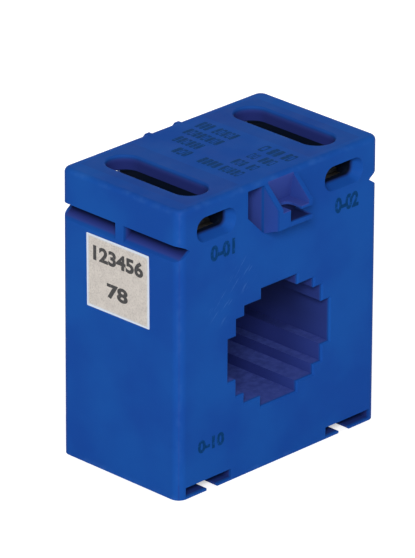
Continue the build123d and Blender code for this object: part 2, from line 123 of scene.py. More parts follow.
# Bumps: depth and strength
CASE_BUMP = (0.03 * MM, 0.6)
FILM_BUMP = (0.02 * MM, 0.5)
METAL_BUMP = (0.01 * MM, 0.5)
STRIP_BUMP = (0.02 * MM, 0.6)
WIRE_BUMP = (0.3 * MM, 0.8)
INNER_BUMP = (0.05 * MM, 0.5)

# Roughness from one end of its mask to the other; the case's varies in patches of noise round its own value
CASE_SHEEN = (180.0, 2.0, 0.5, 0.3, 0.7)
CASE_ROUGHNESS_SPREAD = (-0.05, 0.07)
FILM_ROUGHNESS = (0.42, 0.58)
DIGIT_ROUGHNESS = (0.5, 0.7)
INK_ROUGHNESS = (0.46, 0.54)
METAL_ROUGHNESS = (0.42, 0.6)
SLEEVE_ROUGHNESS = (0.45, 0.7)
STRIP_ROUGHNESS = (0.38, 0.55)
WIRE_ROUGHNESS = (0.42, 0.28)

# Case: its grain, its wear, the painted light on the upward faces of its steps and the strength of the
# painted shade tint in its recesses. A patch of scuffs has its centre and radius in millimetres, and its
# slant in degrees.
GRAIN_SHARES = (0.7, 0.3)
COARSE_GRAIN = 0.23
EDGE_WIDTH = 1.5 * MM
FACING_UP = (0.6, 0.95)
SCUFF_FADE = (0.45, 1.0, 1.0, 0.0)
SCUFF_PATCHES = (((-11.8, -17.6, 46.5), 5.5, -42), ((-17.8, -17.6, 40.8), 5.0, -46))
SCUFF_STRENGTH = 0.32
SCUFF_ROUGHNESS = 0.12
SCRATCH_STRETCH = (1900.0, 900.0, 230.0)
RECESS_SHADE_STRENGTH = 0.9
CASE_SPECULAR = 0.01

# Label: its size and its digits, each row with its middle, width and height, in millimetres
LABEL_SIZE = (18.5 * MM, 16.6 * MM)
LABEL_ROUNDING = 0.2 * MM
LABEL_TILT = math.radians(0.45)
LABEL_BORDER = (0.35 * MM, 0.9 * MM, 1.0, 0.0)
LABEL_GRID = (9.0 * MM, 8.0 * MM)
LABEL_CUTS = 5
FLECK_STRENGTH = 0.6
CLOUD_STRENGTH = 0.2
LIFTED_CORNER = Vector((9.25 * MM, 8.3 * MM, 0.0))
LIFT_REACH = 5.5 * MM
LABEL_ROWS = (
    ("label_digits_upper", "upper_digits", 0.3, 49.6, 14.8, 3.5),
    ("label_digits_lower", "lower_digits", 0.55, 42.1, 6.2, 3.4),
)
LABEL_INK = 0.02 * MM
LABEL_WEIGHT = 0.04
DIGIT_CURVE_STEPS = 6

# Numbers on the front, each with its middle, width and height, in millimetres
FRONT_MARKS = (
    ("mark_left", "left_mark", -17.2, 53.8, 7.2, 3.6),
    ("mark_right", "right_mark", 20.1, 53.4, 7.2, 3.6),
    ("mark_low", "low_mark", -20.4, 10.7, 7.8, 3.0),
)
MARK_WEIGHT = 0.045

# Rows of shapes on the top, in millimetres: each row's middle across, the height of its shapes, its start
# and end along the depth, and its shapes, where s is solid and h is hollow
TOP_ROWS = (
    (7.0, 3.5, 13.4, 9.6, "sss"),
    (7.0, 3.3, 8.6, 2.4, "shshs"),
    (7.1, 3.2, -5.0, -6.8, "h"),
    (7.1, 3.5, -7.6, -10.8, "ss"),
    (7.2, 3.5, -11.6, -14.4, "sh"),
    (2.5, 3.0, 12.8, 2.4, "shsshshs"),
    (2.5, 2.8, -6.0, -8.4, "hh"),
    (2.5, 3.1, -9.4, -13.2, "ssh"),
    (-2.0, 3.1, 11.4, 3.8, "sshsss"),
    (-2.0, 2.9, -5.8, -9.2, "shs"),
    (-2.0, 2.9, -10.2, -12.4, "sh"),
    (-6.5, 3.0, 7.2, 2.8, "shs"),
    (-6.5, 3.1, -0.4, -6.0, "ssss"),
    (-6.5, 3.0, -6.6, -12.4, "shssh"),
)
SHAPE_GAP = 0.3
SHAPE_ROUNDING = 0.16
SHAPE_LINE = 0.2

# Terminals and leads: how far the metals' streaks are drawn out, and the sleeve's clean and dusty red
BAR_STRETCH = (6000.0, 500.0, 6000.0)
SCREW_STRETCH = (2500.0, 2500.0, 5000.0)
TARNISH_STRENGTH = 0.5
SLEEVE_RED = (140, 30, 24)
SLEEVE_PALE = (160, 84, 74)

# Coil; the wire is painted darker in the gaps between its turns, as painted shade
STRIP_THICKNESS = 0.35 * MM
STRIP_STAIN = (76, 84, 98)
WIRE_GAP_SHADE = (96, 40, 20)
WIRE_WAVES = 90.0
WIRE_SHADE = 0.6
WIRE_METALLIC = 0.7
WIRE_COAT = 0.4
END_RINGS = ("core_end_ring_front", "core_end_ring_back")
FOAM_RINGS = ("foam_ring_front", "foam_ring_back")

# Finishes of the other inner pieces: nodes, the two colours of the mottle, its scale, and their roughness
MOTTLE = (4.0, 0.65, 0.35, 0.7)
MOTTLE_ROUGHNESS = 0.05
INNER_FINISHES = (
    ("End_ring_board", END_RINGS, (206, 196, 168), (184, 170, 138), 1500.0, 0.85),
    ("Wrap_film", ("winding_wrap",), (214, 190, 104), (198, 172, 84), 260.0, 0.3),
    ("Foam", FOAM_RINGS, (46, 46, 48), (64, 64, 66), 2600.0, 0.95),
)

# Stage. Each lamp has its place and size in metres, its power's name, and whether reflections show it.
FLOOR_SIDE = 6.0
FLOOR_DROP = 0.05 * MM
FLOOR_GLOW = 0.5
FLOOR_ROUGHNESS = 0.9
FLOOR_SPECULAR = 0.1
AIM = Vector((0, 0, 0.033))
LAMPS = (
    ("key_lamp", (-0.85, -0.8, 0.75), 0.4, "key_power", True),
    ("fill_lamp", (0.95, 0.85, 0.3), 0.6, "fill_power", False),
    ("top_lamp", (0.0, 0.1, 1.0), 0.7, "top_power", True),
)
PHOTO_HEIGHT = 558
FOCAL_PIXELS = 6446.977
SENSOR_HEIGHT = 36.0
CAMERA_PLACE = Vector((-0.8919694, -0.8756794, 0.5889880))
CAMERA_AZIMUTH = math.radians(-45.404)
CAMERA_ELEVATION = math.radians(23.851)
CAMERA_ROLL = math.radians(0.2534)
CAMERA_CLIP = (0.05, 20.0)

# Turns of flat pieces onto the front and onto the left side
ONTO_FRONT = Matrix(((1, 0, 0), (0, 0, -1), (0, 1, 0)))
ONTO_LEFT = Matrix(((0, 0, -1), (-1, 0, 0), (0, 1, 0)))

WHITE = (1, 1, 1, 1)
FLOAT = "NodeSocketFloat"
VECTOR = "NodeSocketVector"


def from_srgb(red, green, blue):
    """Linear colour of 8-bit display values."""
    def channel(value):
        value /= 255.0
        return value / 12.92 if value <= 0.04045 else ((value + 0.055) / 1.055) ** 2.4
    return channel(red), channel(green), channel(blue), 1.0


def colour_property(name, description, display):
    default = from_srgb(*display)
    return FloatVectorProperty(
        name=name, description=description, subtype="COLOR", size=4, min=0.0, max=1.0, default=default
    )


def length_property(name, description, millimetres):
    return FloatProperty(
        name=name, description=description, default=millimetres * MM, min=0.0, unit="LENGTH", precision=5
    )


def share_property(name, description, value):
    return FloatProperty(
        name=name, description=description, default=value, min=0.0, max=1.0, subtype="FACTOR"
    )


def power_property(name, description, watts):
    return FloatProperty(name=name, description=description, default=watts, unit="POWER")


def digits_property(name, description, text):
    return StringProperty(name=name, description=description, default=text)


class CaseLook(bpy.types.PropertyGroup):
    blue: colour_property("Case blue", "Colour of the moulded plastic", (24, 77, 155))
    blue_deep: colour_property("Deep blue", "Darker flow marks in the plastic", (22, 68, 147))
    blue_worn: colour_property("Worn blue", "Paler plastic on handled edges and scuffs", (72, 118, 184))
    # Painted shade: a purplish tint on the plastic just inside the window, slots and pockets, on the
    # bracket's flank and in its trough
    recess_shade_tint: colour_property("Recess", "Plastic just inside the window, slots and pockets", (54, 70, 146))
    # Painted shade: darker plastic deep inside the window, slots, wire entries, grooves, foot slots and nut
    # pocket
    hollow: colour_property("Hollow", "Plastic deep inside the window, slots and entries", (36, 46, 108))
    # Painted light: paler colour on the upward faces of the steps inside the window, in specks
    dust_and_painted_light: colour_property("Painted step light", "Fine dust that lies on the steps inside the window", (72, 88, 166))
    # Painted shadow: near-black plastic in the wire entries' throats, at the grooves' roots, at the top of
    # the window and in the nut pocket
    deep_painted_shadow: colour_property("Dark", "Plastic round the terminals, behind the wire entries", (12, 20, 36))
    grain: length_property("Grain", "Size of the fine mould texture", 0.22)
    roughness: share_property("Roughness", "How matt the plastic is", 0.44)


class LabelLook(bpy.types.PropertyGroup):
    film: colour_property("Film", "Colour of the label film", (199, 192, 184))
    film_edge: colour_property("Film edge", "Paler border where the film is cut", (200, 211, 226))
    speckle: colour_property("Speckle", "Dark flecks in the film", (150, 142, 138))
    print_colour: colour_property("Label print", "Colour of the digits on the label", (26, 24, 26))
    upper_digits: digits_property("Upper digits", "Upper row on the label", "123456")
    lower_digits: digits_property("Lower digits", "Lower row on the label", "78")
    film_thickness: length_property("Film thickness", "Thickness of the label film", 0.08)
    corner_lift: length_property("Corner lift", "How far one corner of the film has come away", 0.08)


class PrintLook(bpy.types.PropertyGroup):
    ink: colour_property("Ink", "Colour of the marks printed on the case", (8, 54, 102))
    ink_thickness: length_property("Ink thickness", "Height of the ink over the plastic", 0.02)
    left_mark: digits_property("Left mark", "Number under the left wire entry", "0-01")
    right_mark: digits_property("Right mark", "Number under the right wire entry", "0-02")
    low_mark: digits_property("Low mark", "Number near the bottom of the front", "0-10")


class MetalLook(bpy.types.PropertyGroup):
    # Painted shade: the platings are darkened because the terminals sit in shade inside the case; the tarnish
    # is a real stain
    nickel_with_painted_shade: colour_property("Nickel", "Plating of the terminal bars", (88, 85, 79))
    zinc_with_painted_shade: colour_property("Zinc", "Plating of the screws and clamp plates", (92, 94, 97))
    tarnish: colour_property("Tarnish", "Dull stain on the plating", (40, 38, 36))
    core_steel: colour_property("Core steel", "Strip of the wound core", (110, 114, 122))
    copper: colour_property("Copper", "Enamelled wire of the winding", (166, 84, 42))


class StageLook(bpy.types.PropertyGroup):
    floor: colour_property("Floor", "Colour of the studio floor", (238, 238, 238))
    key_power: power_property("Key light", "Power of the lamp in front", 15.0)
    fill_power: power_property("Fill light", "Power of the lamp behind", 10.0)
    top_power: power_property("Top light", "Power of the lamp overhead", 0.3)
    surround: share_property("Surround", "Brightness of the room that the part is lit by", 0.35)


def add_node(tree, kind, inputs=None, **settings):
    """A node with its settings, and with values or links on its inputs."""
    made = tree.nodes.new(kind)
    for key, value in settings.items():
        setattr(made, key, value)
    for key, value in (inputs or {}).items():
        if isinstance(value, bpy.types.NodeSocket):
            tree.links.new(value, made.inputs[key])
        else:
            made.inputs[key].default_value = value
    return made


def compute(tree, operation, first, second=0.0, clamp=False):
    """One step of arithmetic; the result's socket."""
    made = add_node(tree, "ShaderNodeMath", {0: first, 1: second}, operation=operation, use_clamp=clamp)
    return made.outputs[0]


def fold(tree, operation, values):
    """Some values taken together by one operation, in turn."""
    total = values[0]
    for value in values[1:]:
        total = compute(tree, operation, total, value)
    return total


def smallest(tree, *values):
    return fold(tree, "MINIMUM", values)


def largest(tree, *values):
    return fold(tree, "MAXIMUM", values)


def product(tree, *values):
    return fold(tree, "MULTIPLY", values)


def minus(tree, first, second):
    """The difference of two values."""
    return compute(tree, "SUBTRACT", first, second)


def over(tree, value, limit):
    """1 over a limit and 0 elsewhere."""
    return compute(tree, "GREATER_THAN", value, limit)


def under(tree, value, limit):
    """1 under a limit and 0 elsewhere."""
    return compute(tree, "LESS_THAN", value, limit)


def between(tree, value, low, high):
    """1 between two limits and 0 elsewhere."""
    return product(tree, over(tree, value, low), under(tree, value, high))


def ramp(tree, value, low, high, to_low=0.0, to_high=1.0):
    """A value carried smoothly from one range to another."""
    inputs = {"Value": value, "From Min": low, "From Max": high, "To Min": to_low, "To Max": to_high}
    return add_node(tree, "ShaderNodeMapRange", inputs, interpolation_type="SMOOTHSTEP").outputs["Result"]


def vector_math(tree, operation, first, second):
    """One step of arithmetic on vectors."""
    return add_node(tree, "ShaderNodeVectorMath", {0: first, 1: second}, operation=operation).outputs[0]


def length(tree, vector):
    """A vector's length."""
    return add_node(tree, "ShaderNodeVectorMath", {0: vector}, operation="LENGTH").outputs["Value"]


def split(tree, vector):
    """A vector's X, Y and Z."""
    return add_node(tree, "ShaderNodeSeparateXYZ", {"Vector": vector}).outputs


def blend_colours(tree, share, first, second):
    """Two colours mixed by a share."""
    made = add_node(tree, "ShaderNodeMix", {"Factor": share, 6: first, 7: second}, data_type="RGBA")
    return made.outputs[2]


def noise(tree, place, scale, detail=2.0, roughness=0.5):
    inputs = {"Vector": place, "Scale": scale, "Detail": detail, "Roughness": roughness}
    return add_node(tree, "ShaderNodeTexNoise", inputs).outputs["Fac"]


def patches(tree, place, scale, detail, roughness, *fade):
    """Noise that fades in between two of its levels."""
    return ramp(tree, noise(tree, place, scale, detail, roughness), *fade)


def spread(tree, share, low, high):
    """A share from 0 to 1 carried to two values."""
    return ramp(tree, share, 0.0, 1.0, low, high)


def new_group(name, inputs, outputs):
    """An empty node group: its tree, its inputs, and a function that links a value to an output."""
    tree = bpy.data.node_groups.new(name, "ShaderNodeTree")
    for label, kind in inputs.items():
        tree.interface.new_socket(label, in_out="INPUT", socket_type=kind)
    for label in outputs:
        tree.interface.new_socket(label, in_out="OUTPUT", socket_type=FLOAT)
    entry = tree.nodes.new("NodeGroupInput")
    out = tree.nodes.new("NodeGroupOutput")
    return tree, entry.outputs, lambda label, value: tree.links.new(value, out.inputs[label])


def place_group(tree, name, inputs):
    """A node group put into a material with its own values; its outputs."""
    return add_node(tree, "ShaderNodeGroup", inputs, node_tree=bpy.data.node_groups[name]).outputs


def build_mould_grain():
    """Fine texture of a spark-eroded mould: a height and a slow shade."""
    tree, given, give = new_group("Mould grain", {"Place": VECTOR, "Grain": FLOAT}, ("Height", "Shade"))
    frequency = compute(tree, "DIVIDE", 1.0, given["Grain"])
    fine = noise(tree, given["Place"], frequency, 3.0, 0.6)
    coarse = noise(tree, given["Place"], product(tree, frequency, COARSE_GRAIN), 2.0)
    layers = [product(tree, layer, share) for layer, share in zip((fine, coarse), GRAIN_SHARES)]
    give("Height", fold(tree, "ADD", layers))
    give("Shade", patches(tree, given["Place"], *FLOW_MARKS))


def build_case_zones():
    """Masks of the case: handled edges; painted shade behind its skin, in its brackets and in its hollows;
    painted shadow in its darkest hollows; and painted light on its steps.
    """
    tree, given, give = new_group(
        "Case zones", {"Place": VECTOR, "Width": FLOAT}, ("Edge", "Recess", "Hollow", "Steps", "Dark")
    )
    parts = split(tree, given["Place"])
    sideways = compute(tree, "ABSOLUTE", parts["X"])
    outward = compute(tree, "ABSOLUTE", parts["Y"])
    height = parts["Z"]
    from_side = minus(tree, HALF_WIDTH, sideways)
    from_face = minus(tree, HALF_DEPTH, outward)
    from_end = smallest(tree, minus(tree, CASE_TOP, height), height)
    nearer = smallest(tree, from_side, from_face)
    farther = largest(tree, from_side, from_face)
    depth = smallest(tree, nearer, from_end)
    from_edge = largest(tree, nearer, smallest(tree, farther, from_end))
    give("Edge", ramp(tree, from_edge, product(tree, given["Width"], EDGE_SOLID), given["Width"], 1.0, 0.0))

    # Painted light on the steps, faded out deep and high inside the window
    steps = product(tree, ramp(tree, depth, *ON_STEPS), between(tree, height, FOOT_HIGH, GROOVE_LOW))
    beyond_step_light = product(tree, ramp(tree, from_face, *STEP_LIGHT_FADE_DEPTH), ramp(tree, height, *STEP_LIGHT_FADE_HEIGHT))
    give("Steps", product(tree, steps, minus(tree, 1.0, beyond_step_light)))
    # Painted shade that deepens into the window, and painted shadow towards its top
    in_window = product(tree, ramp(tree, depth, *INTO_WINDOW), steps)
    window_shade = product(tree, in_window, ramp(tree, height, *WINDOW_SHADE))

    # Painted shade in the wire entries' throats and in the access slots
    in_bay = between(tree, sideways, BAY_INNER, BAY_OUTER)
    at_entry = product(tree, between(tree, height, ENTRY_LOW, ENTRY_HIGH), in_bay)
    in_throat = product(tree, at_entry, ramp(tree, from_face, *INTO_THROAT))
    in_slot = product(
        tree, ramp(tree, from_end, *INTO_SLOT), over(tree, height, ENTRY_HIGH), in_bay,
        over(tree, nearer, SLOT_WALL),
    )

    # Painted shade in the side grooves, darkest at their roots, and in the foot slots
    off_front = ramp(tree, from_face, *OFF_FRONT)
    beside_bay = over(tree, sideways, BAY_OUTER)
    at_groove = product(tree, between(tree, height, GROOVE_LOW, GROOVE_HIGH), beside_bay, off_front)
    in_groove = product(tree, at_groove, ramp(tree, from_side, *INTO_GROOVE))
    groove_root = product(tree, at_groove, ramp(tree, from_side, *GROOVE_ROOT))
    in_foot = product(tree, between(tree, height, FOOT_FACE, FOOT_HIGH), ramp(tree, nearer, *INTO_FOOT))

    # Painted shade tint on the bracket's flank and in its trough
    from_nose = minus(tree, NOSE, outward)
    from_ridge = minus(tree, RIDGE_REACH, compute(tree, "ADD", outward, height))
    in_bracket = product(
        tree, ramp(tree, smallest(tree, from_ridge, from_nose), *INTO_BRACKET),
        over(tree, outward, HALF_DEPTH + FACE_MARGIN), BRACKET_SHARE,
    )
    from_trough = smallest(
        tree,
        minus(tree, TROUGH_HALF_WIDTH, sideways),
        minus(tree, height, SHELF_TOP - SHELF_MARGIN),
        minus(tree, TROUGH_TOP, height),
        minus(tree, outward, TROUGH_ROOT),
    )
    in_trough = ramp(tree, from_trough, *INTO_TROUGH)
    # Painted shade in the nut pocket behind the bracket's nose
    in_pocket = product(
        tree, between(tree, height, POCKET_LOW, POCKET_HIGH), over(tree, outward, POCKET_ROOT),
        ramp(tree, from_nose, *BEHIND_NOSE),
        ramp(tree, minus(tree, BRACKET_HALF_WIDTH, sideways), *BEHIND_CHEEK),
    )
    give("Hollow", largest(tree, in_window, in_slot, in_throat, in_groove, in_foot, in_pocket))
    # Painted shadow in the darkest hollows
    pocket_shade = product(tree, in_pocket, POCKET_SHADE)
    give("Dark", largest(tree, in_throat, groove_root, window_shade, pocket_shade))

    # Painted shade tint behind the skin, left off the wire entries' flares
    in_flare = product(tree, at_entry, under(tree, from_face, FLARE_DEPTH))
    behind_skin = product(tree, ramp(tree, depth, *BEHIND_SKIN), minus(tree, 1.0, in_flare))
    give("Recess", largest(tree, behind_skin, in_bracket, in_trough))


def build_scuffs():
    """Fine slanting scratches inside a round patch."""
    inputs = {"Place": VECTOR, "Centre": VECTOR, "Radius": FLOAT, "Slant": FLOAT}
    tree, given, give = new_group("Scuffs", inputs, ("Mask",))
    offset = vector_math(tree, "SUBTRACT", given["Place"], given["Centre"])
    distance = compute(tree, "DIVIDE", length(tree, offset), given["Radius"])
    turned = add_node(
        tree, "ShaderNodeVectorRotate", {"Vector": offset, "Angle": given["Slant"]}, rotation_type="Y_AXIS"
    ).outputs[0]
    lines = patches(tree, vector_math(tree, "MULTIPLY", turned, SCRATCH_STRETCH), *SCRATCHES)
    give("Mask", product(tree, lines, ramp(tree, distance, *SCUFF_FADE)))


def build_drawn_metal():
    """Drawn or rolled metal: fine streaks along one axis and patches of tarnish."""
    inputs = {"Place": VECTOR, "Stretch": VECTOR}
    tree, given, give = new_group("Drawn metal", inputs, ("Height", "Tarnish"))
    stretched = vector_math(tree, "MULTIPLY", given["Place"], given["Stretch"])
    give("Height", noise(tree, stretched, 1.0, 3.0, 0.65))
    give("Tarnish", patches(tree, given["Place"], *TARNISH))


def new_material(name):
    """An empty material; its tree, its principled shader and the object's coordinates."""
    material = bpy.data.materials.new(name)
    material.use_nodes = True
    tree = material.node_tree
    place = tree.nodes.new("ShaderNodeTexCoord").outputs["Object"]
    return material, tree, tree.nodes["Principled BSDF"], place


def paint(tree, shader, colour, roughness):
    """Gives a shader its colour and roughness."""
    tree.links.new(colour, shader.inputs["Base Color"])
    tree.links.new(roughness, shader.inputs["Roughness"])


def bump(tree, shader, height, distance, strength):
    made = add_node(tree, "ShaderNodeBump", {"Height": height, "Distance": distance, "Strength": strength})
    tree.links.new(made.outputs["Normal"], shader.inputs["Normal"])


def dress(nodes, material):
    """Gives carried-over nodes their material."""
    for node in nodes:
        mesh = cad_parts[node].data
        mesh.materials.clear()
        mesh.materials.append(material)


def deselect_all():
    if bpy.context.object and bpy.context.object.mode != "OBJECT":
        bpy.ops.object.mode_set(mode="OBJECT")
    bpy.ops.object.select_all(action="DESELECT")


def add_unit_square():
    """A square with sides of 1, alone in the selection and in edit mode."""
    deselect_all()
    bpy.ops.mesh.primitive_plane_add(size=1.0, location=(0, 0, 0))
    bpy.ops.object.mode_set(mode="EDIT")
    return bpy.context.object


def thicken(height):
    """Extrudes the whole mesh in edit mode upwards and turns its faces outwards."""
    bpy.ops.mesh.select_all(action="SELECT")
    bpy.ops.mesh.extrude_region_move(TRANSFORM_OT_translate={"value": (0, 0, height)})
    bpy.ops.mesh.select_all(action="SELECT")
    bpy.ops.mesh.normals_make_consistent(inside=False)


def settle(piece, name, material):
    """Puts a finished piece's place into its mesh and gives it its name and material."""
    deselect_all()
    piece.select_set(True)
    bpy.context.view_layer.objects.active = piece
    bpy.ops.object.transform_apply(location=True, rotation=True, scale=True)
    piece.name = name
    piece.data.name = name
    piece.data.materials.clear()
    piece.data.materials.append(material)
    return piece


def digits(text, place, turn, width, height, thickness, weight):
    """Raised digits of a given width and height, centred on a place and facing along the turned Z axis."""
    deselect_all()
    bpy.ops.object.text_add(location=(0, 0, 0))
    made = bpy.context.object
    made.data.body = text
    made.data.align_x = "CENTER"
    made.data.align_y = "CENTER"
    made.data.extrude = 0.5
    made.data.offset = weight
    made.data.resolution_u = DIGIT_CURVE_STEPS
    bpy.ops.object.convert(target="MESH")
    made = bpy.context.object
    low = Vector([min(v.co[axis] for v in made.data.vertices) for axis in range(3)])
    high = Vector([max(v.co[axis] for v in made.data.vertices) for axis in range(3)])
    size = high - low
    to_middle = Matrix.Translation(-(low + high) / 2)
    fit = Matrix.Diagonal((width / size.x, height / size.y, 2 * thickness / size.z, 1.0))
    made.data.transform(Matrix.Translation(place) @ turn.to_4x4() @ fit @ to_middle)
    return made


class CT_OT_case(bpy.types.Operator):
    """Moulded blue plastic for the case and its back cover, with painted shade in its recesses and hollows
    and painted light on the window's steps
    """

    bl_idname = "transformer.case"
    bl_label = "Case and back cover"

    def execute(self, context):
        look = context.scene.transformer_case
        build_mould_grain()
        build_case_zones()
        build_scuffs()
        material, tree, shader, place = new_material("Blue_moulding")
        grain = place_group(tree, "Mould grain", {"Place": place, "Grain": look.grain})
        zones = place_group(tree, "Case zones", {"Place": place, "Width": EDGE_WIDTH})
        scuffs = largest(tree, *[
            place_group(tree, "Scuffs", {
                "Place": place,
                "Centre": tuple(Vector(centre) * MM),
                "Radius": radius * MM,
                "Slant": math.radians(slant),
            })["Mask"]
            for centre, radius, slant in SCUFF_PATCHES
        ])
        # Painted light: the upward faces of the window's steps made paler, in specks
        upward = split(tree, tree.nodes.new("ShaderNodeTexCoord").outputs["Normal"])["Z"]
        specks = patches(tree, place, *STEP_LIGHT_SPECKS)
        dust_and_painted_light = product(tree, ramp(tree, upward, *FACING_UP), zones["Steps"], specks)
        shade = blend_colours(tree, grain["Shade"], tuple(look.blue), tuple(look.blue_deep))
        for share, colour in (
            (product(tree, zones["Edge"], patches(tree, place, *EDGE_WEAR)), look.blue_worn),
            (product(tree, scuffs, SCUFF_STRENGTH), look.blue_worn),
            # painted shade tint in the recesses
            (product(tree, zones["Recess"], RECESS_SHADE_STRENGTH), look.recess_shade_tint),
            # painted shade in the hollows
            (zones["Hollow"], look.hollow),
            # painted shadow in the darkest hollows
            (zones["Dark"], look.deep_painted_shadow),
            # painted light on the steps
            (dust_and_painted_light, look.dust_and_painted_light),
        ):
            shade = blend_colours(tree, share, shade, tuple(colour))
        limits = [look.roughness + step for step in CASE_ROUGHNESS_SPREAD]
        rough = patches(tree, place, *CASE_SHEEN, *limits)
        rough = compute(tree, "ADD", rough, product(tree, scuffs, SCUFF_ROUGHNESS), clamp=True)
        paint(tree, shader, shade, rough)
        shader.inputs["Specular IOR Level"].default_value = CASE_SPECULAR
        bump(tree, shader, grain["Height"], *CASE_BUMP)
        dress(("case_body", "back_cover"), material)
        return {"FINISHED"}


class CT_OT_label(bpy.types.Operator):
    """Film label on the left side, with one corner just coming away, and its digits"""

    bl_idname = "transformer.label"
    bl_label = "Label"

    def film_material(self, look, middle):
        """Speckled film with a paler cut border."""
        material, tree, shader, place = new_material("Label_film")
        flecks = patches(tree, place, *FILM_FLECKS)
        clouds = patches(tree, place, *FILM_CLOUDS)
        shade = tuple(look.film)
        for share in (product(tree, flecks, FLECK_STRENGTH), product(tree, clouds, CLOUD_STRENGTH)):
            shade = blend_colours(tree, share, shade, tuple(look.speckle))
        half = (LABEL_HIGH - LABEL_LOW) / 2
        parts = split(tree, vector_math(tree, "SUBTRACT", place, tuple(middle)))
        from_y = minus(tree, half.y, compute(tree, "ABSOLUTE", parts["Y"]))
        from_z = minus(tree, half.z, compute(tree, "ABSOLUTE", parts["Z"]))
        border = ramp(tree, smallest(tree, from_y, from_z), *LABEL_BORDER)
        shade = blend_colours(tree, border, shade, tuple(look.film_edge))
        paint(tree, shader, shade, spread(tree, flecks, *FILM_ROUGHNESS))
        bump(tree, shader, flecks, *FILM_BUMP)
        return material

    def film_sheet(self, look):
        """Flat film with rounded corners, cut into a grid so that one corner can lift."""
        film = add_unit_square()
        bpy.ops.transform.resize(value=(*LABEL_SIZE, 1.0))
        bpy.ops.mesh.bevel(offset=LABEL_ROUNDING, segments=3, affect="VERTICES")
        thicken(look.film_thickness)
        for axis, half in enumerate(LABEL_GRID):
            normal = [0.0, 0.0, 0.0]
            normal[axis] = 1.0
            for cut in range(1 - LABEL_CUTS, LABEL_CUTS):
                spot = [0.0, 0.0, 0.0]
                spot[axis] = half * cut / LABEL_CUTS
                bpy.ops.mesh.select_all(action="SELECT")
                bpy.ops.mesh.bisect(plane_co=spot, plane_no=normal)
        bpy.ops.object.mode_set(mode="OBJECT")
        for vertex in film.data.vertices:
            away = (Vector((vertex.co.x, vertex.co.y, 0.0)) - LIFTED_CORNER).length
            vertex.co.z += look.corner_lift * max(0.0, 1.0 - away / LIFT_REACH) ** 2
        return film

    def execute(self, context):
        look = context.scene.transformer_label
        middle = (LABEL_LOW + LABEL_HIGH) / 2
        turn = ONTO_LEFT @ Matrix.Rotation(LABEL_TILT, 3, "Z")
        film = self.film_sheet(look)
        centre = Vector((-HALF_WIDTH, middle.y, middle.z))
        film.data.transform(Matrix.Translation(centre) @ turn.to_4x4())
        settle(film, "label_film", self.film_material(look, middle))
        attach(film, "housing")
        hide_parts("test_label")

        ink, tree, shader, place = new_material("Label_print")
        worn = patches(tree, place, *DIGIT_WEAR)
        colour = blend_colours(tree, worn, tuple(look.print_colour), tuple(look.film))
        paint(tree, shader, colour, spread(tree, worn, *DIGIT_ROUGHNESS))
        for name, text, y, z, width, height in LABEL_ROWS:
            spot = Vector((-HALF_WIDTH - look.film_thickness, y * MM, z * MM))
            row = digits(getattr(look, text), spot, turn, width * MM, height * MM, LABEL_INK, LABEL_WEIGHT)
            settle(row, name, ink)
            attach(row, "housing")
        return {"FINISHED"}


class CT_OT_print(bpy.types.Operator):
    """Printed numbers on the front and plain printed shapes on the top"""

    bl_idname = "transformer.print"
    bl_label = "Printed marks"

    def ink_material(self, ink, blue):
        """Worn ink, with the plastic showing through its gaps."""
        material, tree, shader, place = new_material("Marking_ink")
        gaps = patches(tree, place, *INK_GAPS)
        paint(tree, shader, blend_colours(tree, gaps, ink, blue), spread(tree, gaps, *INK_ROUGHNESS))
        shader.inputs["Specular IOR Level"].default_value = CASE_SPECULAR
        return material

    def shape(self, thickness, hollow):
        """A rounded square of ink with sides of 1, solid or as an outline."""
        made = add_unit_square()
        bpy.ops.mesh.bevel(offset=SHAPE_ROUNDING, segments=2, affect="VERTICES")
        if hollow:
            bpy.ops.mesh.select_all(action="SELECT")
            bpy.ops.mesh.inset(thickness=SHAPE_LINE)
            bpy.ops.mesh.delete(type="FACE")
        thicken(2 * thickness)
        bpy.ops.transform.translate(value=(0, 0, -thickness))
        bpy.ops.object.mode_set(mode="OBJECT")
        return made

    def top_shapes(self, context, thickness):
        """Copies of the solid and the hollow shape in rows, each as long as its row allows."""
        patterns = {"s": self.shape(thickness, False), "h": self.shape(thickness, True)}
        made = []
        for x, height, start, end, row in TOP_ROWS:
            pitch = (start - end) / len(row)
            for number, letter in enumerate(row):
                field = patterns[letter].copy()
                field.data = patterns[letter].data.copy()
                context.collection.objects.link(field)
                spot = Vector((x * MM, (start - (number + 0.5) * pitch) * MM, CASE_TOP))
                size = Matrix.Diagonal((height * MM, (pitch - SHAPE_GAP) * MM, 1.0, 1.0))
                field.data.transform(Matrix.Translation(spot) @ size)
                made.append(field)
        deselect_all()
        for spare in patterns.values():
            bpy.data.objects.remove(spare)
        for field in made:
            field.select_set(True)
        context.view_layer.objects.active = made[0]
        bpy.ops.object.join()
        return context.object

    def execute(self, context):
        look = context.scene.transformer_print
        material = self.ink_material(tuple(look.ink), tuple(context.scene.transformer_case.blue))
        for name, text, x, z, width, height in FRONT_MARKS:
            spot = Vector((x * MM, -HALF_DEPTH, z * MM))
            size = (width * MM, height * MM, look.ink_thickness)
            mark = digits(getattr(look, text), spot, ONTO_FRONT, *size, MARK_WEIGHT)
            settle(mark, name, material)
            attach(mark, "housing")
        rows = settle(self.top_shapes(context, look.ink_thickness), "print_rows_top", material)
        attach(rows, "housing")
        return {"FINISHED"}


